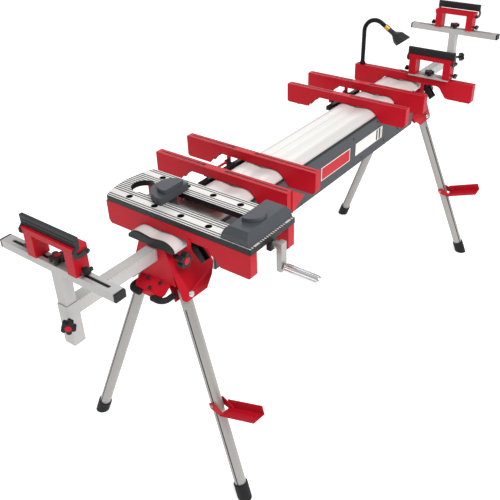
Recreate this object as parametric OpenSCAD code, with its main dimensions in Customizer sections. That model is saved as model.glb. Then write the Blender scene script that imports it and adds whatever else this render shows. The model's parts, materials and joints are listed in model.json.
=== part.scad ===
// Folding mitre saw stand with a clamping work table, two pairs of tool bars,
// a cross bar with a lamp, and an extending work support at each end.
// X runs along the beam, from the work table end to the lamp end. +Z is up.

/* [Beam] */
// Length of the arched beam top
beam_length = 1500; // [1460:10:1560]
// Height of the beam's crown above the floor
beam_top_z = 768; // [760:1:768]
// Half of the width between the outer faces of the side panels
panel_half_w = 87; // [86:1:88]

/* [Legs] */
// Outside diameter of a leg tube
leg_d = 34; // [32:1:35]
// How far a leg leans outward, across the beam
leg_splay = 20.6; // [18:0.1:22]
// How far a leg leans outward, along the beam
leg_lean = 5.8; // [4:0.1:7]
// Height of the leg pivots above the floor
leg_pivot_z = 600; // [590:1:605]

/* [Tool bars] */
// Length of each cross bar
bar_length = 490; // [470:1:500]
// Width of each cross bar
bar_w = 27; // [24:1:28]
// Height of the bar tops above the floor
bar_top_z = 798; // [796:1:800]
// Depth of a bar at its ends
bar_depth = 70; // [66:1:72]
// Distance between the two bars of a pair
bar_pitch = 144; // [136:1:150]

/* [Work table] */
// Width of the work table, along the beam
table_w = 185; // [180:1:190]
// Height of the work table's top above the floor
table_top_z = 816; // [814:1:818]

/* [Extensions] */
// Where the near work support stands along the beam
tee_near_x = -1033; // [-1060:1:-1020]
// Where the far work support stands along the beam
tee_far_x = 1152; // [1100:1:1180]
// Length of the tee bar on each work support
tee_length = 390; // [370:1:400]

/* [Lamp] */
// Outside diameter of the lamp's flexible neck
neck_d = 18; // [14:1:20]

/* [Hidden] */
$fn = 48;

NEAR = -1;
FAR = 1;
LEFT = 1;
RIGHT = -1;
eps = 0.01;
fit = 0.05;
gap = 0.3;

// The row's origin is the middle of the outline on the floor.
foot_cap_r = 21;
leg_run = leg_pivot_z / (cos(leg_splay) * cos(leg_lean));
leg_pivot_x = 724;
leg_pivot_y = 74;
foot_y = leg_pivot_y + leg_run * cos(leg_lean) * sin(leg_splay);
foot_reach = foot_cap_r * sqrt(1 + pow(tan(leg_splay), 2));
grip_end_y = -433;
mid_x = (tee_near_x + tee_far_x) / 2;
mid_y = (foot_y + foot_reach + grip_end_y) / 2;

// Beam section
beam_half_w = 80;
beam_wall = 3;
beam_lobe_y = 45;
beam_valley = 5;
shoulder_z = beam_top_z - 20;
dome_foot_z = beam_top_z - 26;
panel_top_z = 746;
panel_bottom_z = 613;
panel_half_l = 606;
side_wall_bottom = panel_bottom_z + 2;

// Leg housings
plate_t = 3;
plate_in = 21;
front_x = 752;
back_x = 611;
saddle_z = dome_foot_z;

// Extension tubes
tube_w = 33;
tube_top_z = 735;
tube_h = 35;
tube_length = 640;
guide_x = [645, 700];
socket_w = 34;
socket_top_z = 735;
socket_bottom_z = 619;
post_w = 30;
tee_top_z = 845;
tee_h = 21;
tee_w = 31;

// Cross bars
bar_web_h = 28;
bar_wall = 2.5;
bar_offset = 50;
hook_near_y = 62;
hook_far_y = 101;
reach_y = 162;
reach_far_y = 200;
bar_near_x = -403;
bar_far_x = 316;
bar_single_x = 653;
pivot_rod_r = 4;
rod_y = 122;
rod_z = 756;
lever_rod_y = 100;
lever_rod_z = 752;

// Work table
table_x = -717;
rail_w = 26;
table_t = 17;
rail_top_z = table_top_z - table_t;
slot_x = [-656, -595];
screw_x = -624;
screw_z = 786;
screw_r = 7;
crank_radius = 58;

// Work supports
frame_l = 172;
frame_d = 40;
frame_h = 74;
frame_leg_w = 28;
frame_rail_h = 14;
stop_l = 184;
stop_t = 9;
stop_pivot_drop = 18;
stop_pivot_in = -15;
stop_pivot_out = 5;
mid_support_y = -121;
plate_top_z = bar_top_z + 3.5;

module placed() { translate([-mid_x, -mid_y, 0]) children(); }

// Children are drawn for the far end and mirrored for the near end.
module at_end(end) { mirror([end == NEAR ? 1 : 0, 0, 0]) children(); }

// A box given by its two corners.
module span(a, b) { translate(a) cube(b - a); }

// A round bar along X, Y or Z, centred on the point where it starts.
module rod_x(r, l) { rotate([0, 90, 0]) cylinder(r = r, h = l); }
module rod_y(r, l) { rotate([-90, 0, 0]) cylinder(r = r, h = l); }

// Turns the outline (y, z) into a solid that runs along X.
module along_x(x, l) { translate([x, 0, 0]) rotate([90, 0, 90]) linear_extrude(l) children(); }

// Turns the outline (x, z) into a solid that runs along Y.
module along_y(y, l) { translate([0, y + l, 0]) rotate([90, 0, 0]) linear_extrude(l) children(); }

// ---- Beam -----------------------------------------------------------------

// One half of the crown's outline, from the valley to the foot.
function crown(inset) = [
    [0, beam_top_z - beam_valley - inset], [beam_lobe_y * 0.45, beam_top_z - 2 - inset],
    [beam_lobe_y, beam_top_z - inset], [60, beam_top_z - 2.5 - inset], [70, beam_top_z - 8 - inset],
    [beam_half_w - inset, shoulder_z], [beam_half_w - inset, dome_foot_z - eps]];

module crown_outline(inset) {
    right = crown(inset);
    polygon([for (p = right) p, for (i = [len(right) - 1:-1:1]) [-right[i][0], right[i][1]]]);
}

module beam_extrusion() placed() color("silver") {
    along_x(-beam_length / 2, beam_length) difference() {
        crown_outline(0);
        crown_outline(beam_wall);
    }
    for (side = [LEFT, RIGHT]) along_x(-panel_half_l, 2 * panel_half_l) polygon([
        [side * beam_half_w, dome_foot_z], [side * (beam_half_w - beam_wall), dome_foot_z],
        [side * (beam_half_w - beam_wall), side_wall_bottom + 3],
        [side * (beam_half_w - 18), side_wall_bottom + 3],
        [side * (beam_half_w - 18), side_wall_bottom], [side * beam_half_w, side_wall_bottom]]);
}

module side_panels() placed() color("dimgray") for (side = [LEFT, RIGHT])
    along_x(-panel_half_l, 2 * panel_half_l) polygon([
        [side * beam_half_w, panel_top_z], [side * (panel_half_w - 2), panel_top_z],
        [side * panel_half_w, panel_top_z - 3], [side * panel_half_w, panel_bottom_z + 3],
        [side * (panel_half_w - 2), panel_bottom_z], [side * (beam_half_w - 20), panel_bottom_z],
        [side * (beam_half_w - 20), side_wall_bottom], [side * beam_half_w, side_wall_bottom]]);

module end_caps() placed() color("darkslategray") for (end = [NEAR, FAR]) at_end(end)
    difference() {
        along_x(beam_length / 2, 7) difference() {
            crown_outline(0.5);
            translate([-200, 0]) square([400, 742]);
        }
        span([beam_length / 2 - 1, -200, 0], [beam_length / 2 + 10, 200, 742]);
    }

// ---- Leg housings ---------------------------------------------------------

// Children are drawn about a leg's pivot, with the leg's plane upright.
module leg_plane(end, side) {
    translate([end * leg_pivot_x, side * leg_pivot_y, leg_pivot_z])
        rotate([side * leg_splay, 0, 0]) children();
}

// The same, turned so that the leg runs straight down.
module leg_frame(end, side) { leg_plane(end, side) rotate([0, -end * leg_lean, 0]) children(); }

module cheek_outline() {
    front = front_x - leg_pivot_x;
    back = back_x - leg_pivot_x;
    // the top front corner steps back to clear the beam's end cap
    polygon([[front - 4.5, 148], [front, 140], [front + 3, -4], [front - 6, -14],
        [-60, -16], [-94, 10], [back, 38], [back, 148]]);
}

module inner_cheek_outline() { polygon([[22, 46], [22, -16], [-24, -16], [-50, 10], [-50, 46]]); }

module leg_cheeks(side) {
    leg_plane(FAR, side) difference() {
        union() {
            translate([0, side * plate_in + (side < 0 ? -plate_t : 0), 0])
                along_y(0, plate_t) cheek_outline();
            translate([0, -side * plate_in + (side > 0 ? -plate_t : 0), 0])
                along_y(0, plate_t) inner_cheek_outline();
        }
        translate([0, -30, 0]) rod_y(leg_bolt_r, 60);
    }
}

module front_web_outline() {
    polygon([[-44, 742], [-62, 690], [-74, 636], [74, 636], [62, 690], [44, 742]]);
}

module leg_housing(end) {
    inner_floor_y = 40;
    shelf_y = 53;
    at_end(end) {
        for (side = [LEFT, RIGHT]) leg_cheeks(side);
        difference() {
            along_x(front_x - plate_t, plate_t) front_web_outline();
            span([front_x - 10, -tube_w / 2 - 1, tube_top_z - tube_h - 1],
                [front_x + 10, tube_w / 2 + 1, tube_top_z + 1]);
            for (side = [LEFT, RIGHT]) leg_plane(FAR, side)
                translate([-200, side > 0 ? plate_in : -plate_in - 60, -100]) cube([400, 60, 400]);
        }
        // sloping shelf below the tube, with its turned-down lip
        intersection() {
            along_y(-shelf_y, 2 * shelf_y) polygon([[front_x - plate_t, 636], [front_x, 636],
                [785, 613], [785, 597], [782, 597], [782, 611.5], [front_x, 632.5],
                [front_x - plate_t, 632.5]]);
            translate([0, 0, 590]) linear_extrude(60) {
                translate([740, -shelf_y]) square([32, 2 * shelf_y]);
                translate([740, -shelf_y + 13]) square([45, 2 * shelf_y - 26]);
                for (y = [-1, 1]) translate([772, y * (shelf_y - 13)]) circle(r = 13);
            }
        }
        // saddle under the beam's crown
        span([back_x, -beam_half_w + beam_wall, saddle_z - eps],
            [beam_length / 2, beam_half_w - beam_wall, saddle_z + plate_t]);
        // floor between the inner cheeks
        span([back_x + 60, -inner_floor_y, 633], [front_x - plate_t + eps, inner_floor_y, 636]);
    }
}

module leg_housing_near() placed() color("crimson") leg_housing(NEAR);
module leg_housing_far() placed() color("crimson") leg_housing(FAR);

module shelf_bolt(x, y) {
    slope = atan((636 - 613) / (785 - front_x));
    translate([x, y, 636 - (x - front_x) * tan(slope)]) rotate([0, slope, 0]) cylinder(r = 5, h = 5, $fn = 6);
}

module housing_fasteners() placed() color("gainsboro") for (end = [NEAR, FAR]) at_end(end) {
    for (y = [-22, 22]) shelf_bolt(758, y);
    shelf_bolt(776, 0);
    for (side = [LEFT, RIGHT]) leg_plane(FAR, side) {
        translate([0, -28, 0]) rod_y(leg_bolt_r, 56);
        for (y = [-30, plate_in + plate_t]) translate([0, y, 0]) rod_y(9, 6);
    }
}

// A rubber roll that wraps a front corner of the shelf.
module corner_bumper(side) {
    r = 8.5;
    bend = 22;
    cx = 772;
    cy = side * 40;
    translate([cx, cy, 606]) {
        mirror([0, side > 0 ? 0 : 1, 0]) rotate_extrude(angle = 90) translate([bend, 0]) circle(r = r);
        translate([bend, side > 0 ? -15 : 0, 0]) rod_y(r, 15);
        translate([bend, -side * 15, 0]) sphere(r = r);
        translate([-18, side * bend, 0]) rod_x(r, 18);
        translate([-18, side * bend, 0]) sphere(r = r);
    }
}

module corner_bumpers() placed() color("black") for (end = [NEAR, FAR]) at_end(end)
    for (side = [LEFT, RIGHT]) corner_bumper(side);

// Plastic blocks inside the housings that the extension tubes slide through.
module tube_guides() placed() color("dimgray") for (end = [NEAR, FAR]) at_end(end) difference() {
    half_w = 36;
    span([guide_x[0], -half_w, tube_top_z - tube_h - 8], [guide_x[1], half_w, saddle_z - eps]);
    span([guide_x[0] - 1, -tube_w / 2 - gap, tube_top_z - tube_h - gap],
        [guide_x[1] + 1, tube_w / 2 + gap, tube_top_z + gap]);
}

// ---- Legs -----------------------------------------------------------------

leg_end = leg_run - 14;
leg_bolt_r = 5;
footrest_at = 333;
stud_r = 4;

module leg(end, side, groove_angle) {
    leg_frame(end, side) {
        difference() {
            translate([0, 0, -leg_end]) cylinder(d = leg_d, h = leg_end + leg_d / 2);
            translate([0, 0, -leg_end - 1]) cylinder(d = leg_d - 4, h = leg_end - 45);
            translate([0, -30, 0]) rod_y(leg_bolt_r + fit, 60);
            rotate([0, 0, groove_angle]) translate([leg_d / 2 - 1.2, -2, -leg_end - 1])
                cube([5, 4, leg_end - 40]);
        }
        if (side == RIGHT) translate([-27, 0, -footrest_at]) rod_x(stud_r, 54);
    }
}

module leg_near_left() placed() color("silver") leg(NEAR, LEFT, 165);
module leg_near_right() placed() color("silver") leg(NEAR, RIGHT, 195);
module leg_far_left() placed() color("silver") leg(FAR, LEFT, 150);
module leg_far_right() placed() color("silver") leg(FAR, RIGHT, 240);

module foot(end, side) {
    difference() {
        leg_frame(end, side) difference() {
            translate([0, 0, -leg_run - 20]) cylinder(r = foot_cap_r, h = 68);
            translate([0, 0, -leg_end]) cylinder(d = leg_d, h = 100);
        }
        translate([end * 790 - 100, side * 300 - 100, -100]) cube([200, 200, 100]);
    }
}

module foot_near_left() placed() color("black") foot(NEAR, LEFT);
module foot_near_right() placed() color("black") foot(NEAR, RIGHT);
module foot_far_left() placed() color("black") foot(FAR, LEFT);
module foot_far_right() placed() color("black") foot(FAR, RIGHT);

// An angle step with two ears that straddle the leg. -Y points away from the leg.
module footrest(end) {
    half_w = 24;
    reach = 150;
    ear_in = leg_d / 2 + 1;
    floor_z = -26;
    leg_frame(end, RIGHT) translate([0, 0, -footrest_at]) difference() {
        union() {
            span([-half_w, -reach, floor_z], [half_w, -22, floor_z + 3]);
            span([half_w - 3, -reach, floor_z], [half_w, -22, 1]);
            for (side = [-1, 1]) {
                x = side > 0 ? ear_in : -ear_in - 3;
                translate([x, 0, 0]) along_x(0, 3) polygon([[10, -8], [10, 8], [-10, 10], [-40, floor_z + 4],
                    [-40, floor_z], [-20, floor_z]]);
            }
            span([ear_in, -40, floor_z], [half_w, -22, floor_z + 3]);
        }
        translate([-40, 0, 0]) rod_x(stud_r + fit, 80);
    }
}

module footrest_near() placed() color("crimson") footrest(NEAR);
module footrest_far() placed() color("crimson") footrest(FAR);

// ---- Extensions and work supports -----------------------------------------

module square_tube_x(x, l, w, h, top, wall) {
    difference() {
        span([x, -w / 2, top - h], [x + l, w / 2, top]);
        span([x - 1, -w / 2 + wall, top - h + wall], [x + l + 1, w / 2 - wall, top - wall]);
    }
}

module extension(end) {
    tee_x = abs(end == NEAR ? tee_near_x : tee_far_x);
    inner = tee_x - tube_length;
    at_end(end) {
        square_tube_x(inner, tube_length - socket_w / 2, tube_w, tube_h, tube_top_z, 2);
        difference() {
            span([tee_x - socket_w / 2, -socket_w / 2, socket_bottom_z],
                [tee_x + socket_w / 2, socket_w / 2, socket_top_z]);
            span([tee_x - post_w / 2 - gap, -post_w / 2 - gap, socket_bottom_z - 1],
                [tee_x + post_w / 2 + gap, post_w / 2 + gap, socket_top_z + 1]);
        }
    }
}

module extension_near() placed() color("silver") extension(NEAR);
module extension_far() placed() color("silver") extension(FAR);

module tee_slot(y, l) {
    for (s = [0, l]) translate([0, y + s, tee_top_z - 4]) cylinder(r = 4.5, h = 5);
    span([-4.5, y, tee_top_z - 4], [4.5, y + l, tee_top_z + 1]);
}

module tee_post(end) {
    cap_t = 6;
    translate([end == NEAR ? tee_near_x : tee_far_x, 0, 0]) {
        difference() {
            span([-tee_w / 2, -tee_length / 2 + cap_t, tee_top_z - tee_h],
                [tee_w / 2, tee_length / 2 - cap_t, tee_top_z]);
            for (y = [-160, 30]) tee_slot(y, 130);
        }
        difference() {
            span([-post_w / 2, -post_w / 2, socket_bottom_z + 25],
                [post_w / 2, post_w / 2, tee_top_z - tee_h]);
            span([-post_w / 2 + 2, -post_w / 2 + 2, socket_bottom_z + 20],
                [post_w / 2 - 2, post_w / 2 - 2, tee_top_z - tee_h - 4]);
        }
    }
}

module tee_post_near() placed() color("silver") tee_post(NEAR);
module tee_post_far() placed() color("silver") tee_post(FAR);

module tee_caps(end) {
    translate([end == NEAR ? tee_near_x : tee_far_x, 0, 0]) for (s = [-1, 1])
        span([-tee_w / 2, min(s * (tee_length / 2 - 6), s * tee_length / 2), tee_top_z - tee_h],
            [tee_w / 2, max(s * (tee_length / 2 - 6), s * tee_length / 2), tee_top_z]);
}

module tee_caps_near() placed() color("black") tee_caps(NEAR);
module tee_caps_far() placed() color("black") tee_caps(FAR);

// A hand knob with round lobes, standing on +Z, with its stem below.
module star_knob(r, t, stem_r, stem_l) {
    lobe = r * 0.36;
    translate([0, 0, stem_l]) {
        cylinder(r = r * 0.68, h = t);
        for (a = [0:72:359]) rotate([0, 0, a]) translate([r - lobe, 0, 0]) cylinder(r = lobe, h = t);
    }
    cylinder(r = stem_r, h = stem_l + 1);
}

// Clamps the tube in its housing, on the right-hand side.
module tube_knob(end) {
    translate([end * 730, -59, tube_top_z - tube_h / 2]) rotate([90, 0, 0]) star_knob(22, 17, 6, 24);
}

module tube_knob_near() placed() color("black") tube_knob(NEAR);
module tube_knob_far() placed() color("black") tube_knob(FAR);

// Clamps the post in its socket, from the socket's outer corner.
module post_knob(end) {
    corner = socket_w / 2 + gap;
    tee_x = end == NEAR ? tee_near_x : tee_far_x;
    translate([tee_x + end * corner, -corner, end == NEAR ? 700 : 716])
        rotate([0, 0, end == NEAR ? 225 : -45]) rotate([0, 90, 0]) star_knob(18, 15, 5, 18);
}

module post_knob_near() placed() color("black") post_knob(NEAR);
module post_knob_far() placed() color("black") post_knob(FAR);

module tee_knob(end) {
    translate([end == NEAR ? tee_near_x : tee_far_x, 0, tee_top_z + gap]) star_knob(20, 12, 6, 7);
}

module tee_knob_near() placed() color("black") tee_knob(NEAR);
module tee_knob_far() placed() color("black") tee_knob(FAR);

// The cast frame: a bridge on two legs. Its middle is at the origin, its foot at z = 0.
module support_frame(pivot_u) {
    half = frame_l / 2;
    leg_half = half - 4;
    difference() {
        union() {
            span([-frame_d / 2, -half, frame_h - frame_rail_h], [frame_d / 2, half, frame_h]);
            for (s = [-1, 1]) span([-frame_d / 2, s > 0 ? leg_half - frame_leg_w : -leg_half, 0],
                [frame_d / 2, s > 0 ? leg_half : -leg_half + frame_leg_w, frame_h - frame_rail_h + eps]);
        }
        // pockets that leave the legs as open channels on both faces
        for (s = [-1, 1], f = [-1, 1]) span(
            [f > 0 ? 6 : -frame_d / 2 + 4, s > 0 ? leg_half - frame_leg_w + 4 : -leg_half + 4, 6],
            [f > 0 ? frame_d / 2 - 4 : -6, s > 0 ? leg_half - 4 : -leg_half + frame_leg_w - 4,
                frame_h - frame_rail_h - 4]);
        for (y = [-half - 1, half - 13]) translate([pivot_u, y, frame_h - stop_pivot_drop])
            rod_y(stop_pin_r + fit, 14);
    }
}

// Two wing screws that clamp the frame's feet.
module frame_knobs() {
    half = frame_l / 2 - 4;
    for (s = [-1, 1]) translate([0, s * half, 15]) {
        translate([0, s > 0 ? 0 : -12, 0]) rod_y(4, 12);
        translate([0, s > 0 ? 10 : -19, 0]) rod_y(9, 9);
        translate([-14, s > 0 ? 13 : -19, -4]) cube([28, 6, 8]);
    }
}

stop_pin_r = 3;

// The flip-up stop: a blade carried by a bent arm at each end, turning on pins in the frame's legs.
module flip_stop(pivot_u) {
    half = stop_l / 2;
    arm_in = frame_l / 2 + 0.8;
    u0 = stop_pivot_drop + 1;
    u1 = u0 + stop_t;
    top = stop_pivot_drop + 27;
    translate([pivot_u, 0, frame_h - stop_pivot_drop]) {
        difference() {
            span([u0, -half, u0], [u1, half, top]);
            for (z = [u0 + 7, u0 + 15]) span([u1 - 1, -half - 1, z], [u1 + 1, half + 1, z + 2]);
        }
        for (s = [-1, 1]) {
            y = s > 0 ? arm_in : -half;
            translate([0, y, 0]) along_y(0, half - arm_in) union() {
                polygon([[0, -6], [28, -6], [38, 3], [38, 12], [u1, u0 + 4], [u1, top], [u0, top],
                    [u0, u0], [29, 9], [29, 5], [25, 3], [0, 6]]);
                circle(r = 6);
            }
            translate([0, s > 0 ? frame_l / 2 - 12 : -half - 2, 0])
                rod_y(stop_pin_r, half - frame_l / 2 + 14);
        }
    }
}

module on_tee(end) {
    translate([end == NEAR ? tee_near_x : tee_far_x, 0, tee_top_z + gap]) at_end(end) children();
}

module on_plate() { translate([bar_single_x, mid_support_y, plate_top_z]) at_end(NEAR) children(); }

module support_frame_near() placed() color("crimson") on_tee(NEAR) support_frame(stop_pivot_in);
module support_frame_far() placed() color("crimson") on_tee(FAR) support_frame(stop_pivot_out);
module support_frame_mid() placed() color("crimson") on_plate() support_frame(stop_pivot_in);
module frame_knobs_near() placed() color("black") on_tee(NEAR) frame_knobs();
module frame_knobs_far() placed() color("black") on_tee(FAR) frame_knobs();
module frame_knobs_mid() placed() color("black") on_plate() frame_knobs();
module flip_stop_near() placed() color("darkslategray") on_tee(NEAR) flip_stop(stop_pivot_in);
module flip_stop_far() placed() color("darkslategray") on_tee(FAR) flip_stop(stop_pivot_out);
module flip_stop_mid() placed() color("darkslategray") on_plate() flip_stop(stop_pivot_in);

module support_plate() placed() color("silver") difference() {
    half_l = 80;
    translate([bar_single_x, mid_support_y, bar_top_z + gap])
        span([-26, -half_l, 0], [26, half_l, plate_top_z - bar_top_z - gap]);
    for (y = [-half_l + 12, 22]) translate([bar_single_x, mid_support_y + y, bar_top_z])
        span([-4.5, 0, -1], [4.5, 46, 10]);
}

module plate_knob() placed() color("black")
    translate([bar_single_x, mid_support_y + 5, plate_top_z + gap]) star_knob(18, 11, 6, 6);

// ---- Cross bars -----------------------------------------------------------

bar_bottom_z = bar_top_z - bar_depth;
bar_web_z = bar_top_z - bar_web_h;

// Side view of a bar, as (y, z), with its hook at -Y and its clamp side at +Y.
module bar_side(rounded) {
    y0 = bar_offset - bar_length / 2;
    y1 = bar_offset + bar_length / 2;
    polygon(concat([[y0, bar_top_z], [y0, bar_bottom_z + 10], [y0 + 8, bar_bottom_z],
        [-hook_far_y, bar_bottom_z], [-hook_far_y + 12, bar_bottom_z + 14],
        [-hook_far_y + 17, bar_bottom_z + 22], [-hook_near_y, bar_web_z]],
        rounded
            ? [for (a = [0:15:75]) [reach_y - 8 + 22 * sin(a), bar_web_z - 22 + 22 * cos(a)],
               for (a = [75:-25:0]) [reach_far_y + 6 - 22 * sin(a), bar_bottom_z + 20 - 20 * cos(a)]]
            : [[reach_y, bar_web_z], [reach_y + 8, bar_web_z - 14], [reach_far_y - 12, bar_bottom_z + 15],
               [reach_far_y, bar_bottom_z]],
        [[y1 - 6, bar_bottom_z], [y1, bar_bottom_z + 6], [y1, bar_top_z]]));
}

// Leaves the walls of an upside-down channel that is closed at both ends.
module channel_inside(x, w, top_z) {
    y0 = bar_offset - bar_length / 2;
    span([x - w / 2 + bar_wall, y0 + bar_wall, bar_bottom_z - 1],
        [x + w / 2 - bar_wall, y0 + bar_length - bar_wall, top_z - bar_wall]);
}

// One bar: a channel with two long slots in its top.
module cross_bar(x, rounded) {
    slots = [[-188, 26], [112, 279]];
    difference() {
        along_x(x - bar_w / 2, bar_w) bar_side(rounded);
        channel_inside(x, bar_w, bar_top_z);
        for (s = slots) {
            span([x - 2.5, s[0], bar_top_z - 5], [x + 2.5, s[1], bar_top_z + 1]);
            translate([x, s[0] < 0 ? s[1] : s[0], bar_top_z - 5]) cylinder(r = 6, h = 6);
        }
    }
}

// The far pair and the near pair hook on the right of the beam, the single bar and the table on its left.
module turned() { mirror([0, 1, 0]) children(); }

module bar_pair(x) {
    for (bx = [x, x + bar_pitch]) cross_bar(bx, false);
    translate([x + bar_w / 2, rod_y, rod_z]) rod_x(pivot_rod_r, bar_pitch - bar_w);
    for (bx = [x + bar_w / 2, x + bar_pitch - bar_w / 2 - 3]) difference() {
        span([bx, rod_y - 7, rod_z - 7], [bx + 3, rod_y + 7, bar_web_z + 6]);
        translate([bx - 1, rod_y, rod_z]) rod_x(pivot_rod_r, 5);
    }
}

module bar_pair_near() placed() color("crimson") {
    bar_pair(bar_near_x);
    // gusset at the end of the first bar
    along_y(bar_offset - bar_length / 2 - 3, 3) polygon([[bar_near_x + 8, bar_top_z],
        [bar_near_x + 70, bar_top_z - 38], [bar_near_x + 8, bar_bottom_z]]);
}

module bar_pair_far() placed() color("crimson") bar_pair(bar_far_x);

// Two ears on a bar's sides and the rod between them.
module lever_mount(x, w, top_z) {
    ear_t = 3;
    for (s = [-1, 1]) translate([x + s * (w / 2 + ear_t / 2 - 0.5) - ear_t / 2, 0, 0])
        span([0, lever_rod_y - 7, lever_rod_z - 7], [ear_t, lever_rod_y + 7, top_z]);
    translate([x - w / 2 - 5, lever_rod_y, lever_rod_z]) rod_x(pivot_rod_r, w + 10);
}

module bar_single() placed() color("crimson") turned() {
    cross_bar(bar_single_x, true);
    lever_mount(bar_single_x, bar_w, bar_web_z + 6);
}

// Black bar along the beam that pulls both bars of a pair down on it.
module clamp_bar(x) {
    l = bar_pitch + 78;
    ears = [bar_w / 2 + 6, bar_pitch - bar_w / 2 - 16];
    difference() {
        union() {
            translate([x - 40, 91, 742]) cube([l, 16, 14]);
            for (e = ears) span([x + e, 98, 744], [x + e + 10, rod_y, rod_z + 1]);
            for (e = ears) translate([x + e, rod_y, rod_z]) rod_x(8, 10);
        }
        for (e = ears) translate([x + e - 1, rod_y, rod_z]) rod_x(pivot_rod_r + fit, 12);
    }
}

module clamp_bar_near() placed() color("black") clamp_bar(bar_near_x);
module clamp_bar_far() placed() color("black") clamp_bar(bar_far_x);

// Lever on the rod, with its handle pointing outward and down.
module clamp_lever(x) {
    w = 20;
    turned() difference() {
        union() {
            translate([x - w / 2, lever_rod_y, lever_rod_z]) rod_x(9, w);
            along_x(x - w / 2, w) polygon([
                [lever_rod_y - 4, lever_rod_z + 8], [lever_rod_y + 7, lever_rod_z - 9],
                [lever_rod_y + 34, lever_rod_z - 40], [lever_rod_y + 48, lever_rod_z - 26],
                [lever_rod_y + 24, lever_rod_z + 4]]);
        }
        translate([x - w, lever_rod_y, lever_rod_z]) rod_x(pivot_rod_r + fit, 2 * w);
        along_x(x - w / 2 + 4, w - 8) polygon([[lever_rod_y + 16, lever_rod_z + 20],
            [lever_rod_y + 16, lever_rod_z - 6], [lever_rod_y + 36, lever_rod_z - 30],
            [lever_rod_y + 60, lever_rod_z - 20]]);
    }
}

module clamp_lever_table() placed() color("black") clamp_lever(table_x + rail_w / 2);
module clamp_lever_single() placed() color("black") clamp_lever(bar_single_x);

// Rubber pads under the deep ends of a bar.
module pads(x) {
    for (y = [bar_offset - bar_length / 2 + 34, bar_offset + bar_length / 2 - 44])
        translate([x, y, bar_bottom_z - 5]) cylinder(r = 6, h = 5);
}

module bracket_pads_near() placed() color("black") for (i = [0, 1]) pads(bar_near_x + i * bar_pitch);
module bracket_pads_far() placed() color("black") for (i = [0, 1]) pads(bar_far_x + i * bar_pitch);

// ---- Work table and its vise ------------------------------------------------

table_y0 = -297;
table_y1 = 190;
slot_start_y = -188;
slot_end_y = 175;
slot_round_r = 34;
groove_w = 4;
groove_pitch = 8.7;
groove_depth = 1;
dog_row = 7.5 * groove_pitch;
dog_hole_r = 9.5;

// The table's rails have the side view of a bar. The first one carries the clamp lever.
module table_rails() placed() color("crimson") turned() {
    for (x = [table_x + rail_w / 2, table_x + table_w - rail_w / 2]) difference() {
        along_x(x - rail_w / 2, rail_w) bar_side(false);
        channel_inside(x, rail_w, bar_top_z);
    }
    lever_mount(table_x + rail_w / 2, rail_w, bar_web_z + 6);
}

module table_outline() {
    sag = 20;
    half = table_w / 2;
    r = (half * half + sag * sag) / (2 * sag);
    intersection() {
        translate([table_x, table_y0]) square([table_w, table_y1 - table_y0 + sag]);
        translate([table_x + half, table_y1 + sag - r]) circle(r = r, $fn = 96);
        translate([table_x, table_y0]) square([table_w, 600]);
    }
    translate([table_x, table_y0]) square([table_w, table_y1 - table_y0 - 60]);
}

// Shallow grooves along the whole table, the same distance out from its middle on both sides.
module groove_pair(out) {
    for (x = [-out, out]) translate([table_x + table_w / 2 + x, 0, 0])
        span([-groove_w / 2, table_y0 - 1, table_top_z - groove_depth],
            [groove_w / 2, table_y1 + 40, table_top_z + 1]);
}

module table_top() placed() color("gainsboro") difference() {
    translate([0, 0, rail_top_z]) linear_extrude(table_t) table_outline();
    // long opening with a wider, round left-hand end
    span([slot_x[0], slot_start_y, rail_top_z - 1], [slot_x[1], slot_end_y - slot_round_r, table_top_z + 1]);
    translate([(slot_x[0] + slot_x[1]) / 2, slot_end_y - slot_round_r, rail_top_z - 1])
        cylinder(r = slot_round_r, h = table_t + 2);
    for (y = [-146:92:130], side = [-1, 1])
        translate([table_x + table_w / 2 + side * dog_row, y, table_top_z - 12])
            cylinder(r = dog_hole_r, h = 20);
    for (k = [0:6]) groove_pair(k * groove_pitch);
    for (k = [9:10]) groove_pair(k * groove_pitch);
}

// A half disc: the part of a circle that lies past y on the side it is asked for.
module half_disc(r, y, side) {
    intersection() {
        circle(r = r);
        translate([-2 * r, side > 0 ? y : y - 4 * r]) square(4 * r);
    }
}

module jaw_fixed() placed() color("slategray") {
    x0 = table_x + 2;
    x1 = table_x + table_w - 2;
    top = table_top_z + 34;
    notch_w = 19;
    notch_l = 120;
    difference() {
        along_x(x0, x1 - x0) polygon([[-204, table_top_z], [-212, top - 8], [-222, top],
            [-279, top], [-291, table_top_z]]);
        // both upper corners slope down
        along_y(-300, notch_l) polygon([[x0 - 1, top + 6], [x0 + notch_w, top + 6], [x0 - 1, top - 18]]);
        along_y(-300, notch_l) polygon([[x1 + 1, top + 6], [x1 - notch_w, top + 6], [x1 + 1, top - 18]]);
    }
    difference() {
        translate([-633, -238, top - eps]) linear_extrude(12) half_disc(37, 2, -1);
        translate([-612, -262, top + 6]) rotate([0, 0, -45]) cube([3, 14, 8], center = true);
    }
}

// Block below the table's edge that carries the vise screw.
module screw_bearing() placed() color("black") difference() {
    span([screw_x - 13, table_y0 + 0.5, screw_z - 18], [screw_x + 13, table_y0 + 14, rail_top_z]);
    translate([screw_x, table_y0 - 10, screw_z]) rod_y(screw_r + fit, 40);
}

module jaw_moving() placed() color("darkslategray") {
    jaw_y = 22;
    body_h = 22;
    bottom = table_top_z + gap;
    translate([-627, 0, bottom]) linear_extrude(body_h) {
        translate([-55, jaw_y]) square([110, 24]);
        translate([0, 40]) half_disc(51, jaw_y - 40, 1);
    }
    translate([-624, 36, bottom + body_h - eps]) linear_extrude(13) half_disc(37, jaw_y - 34, 1);
    // tongue through the opening and the nut on the screw
    difference() {
        span([slot_x[0] + 6, jaw_y + 19, screw_z - 14], [slot_x[1] - 6, jaw_y + 49, bottom + eps]);
        translate([screw_x, jaw_y, screw_z]) rod_y(screw_r + fit, 60);
    }
}

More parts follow.
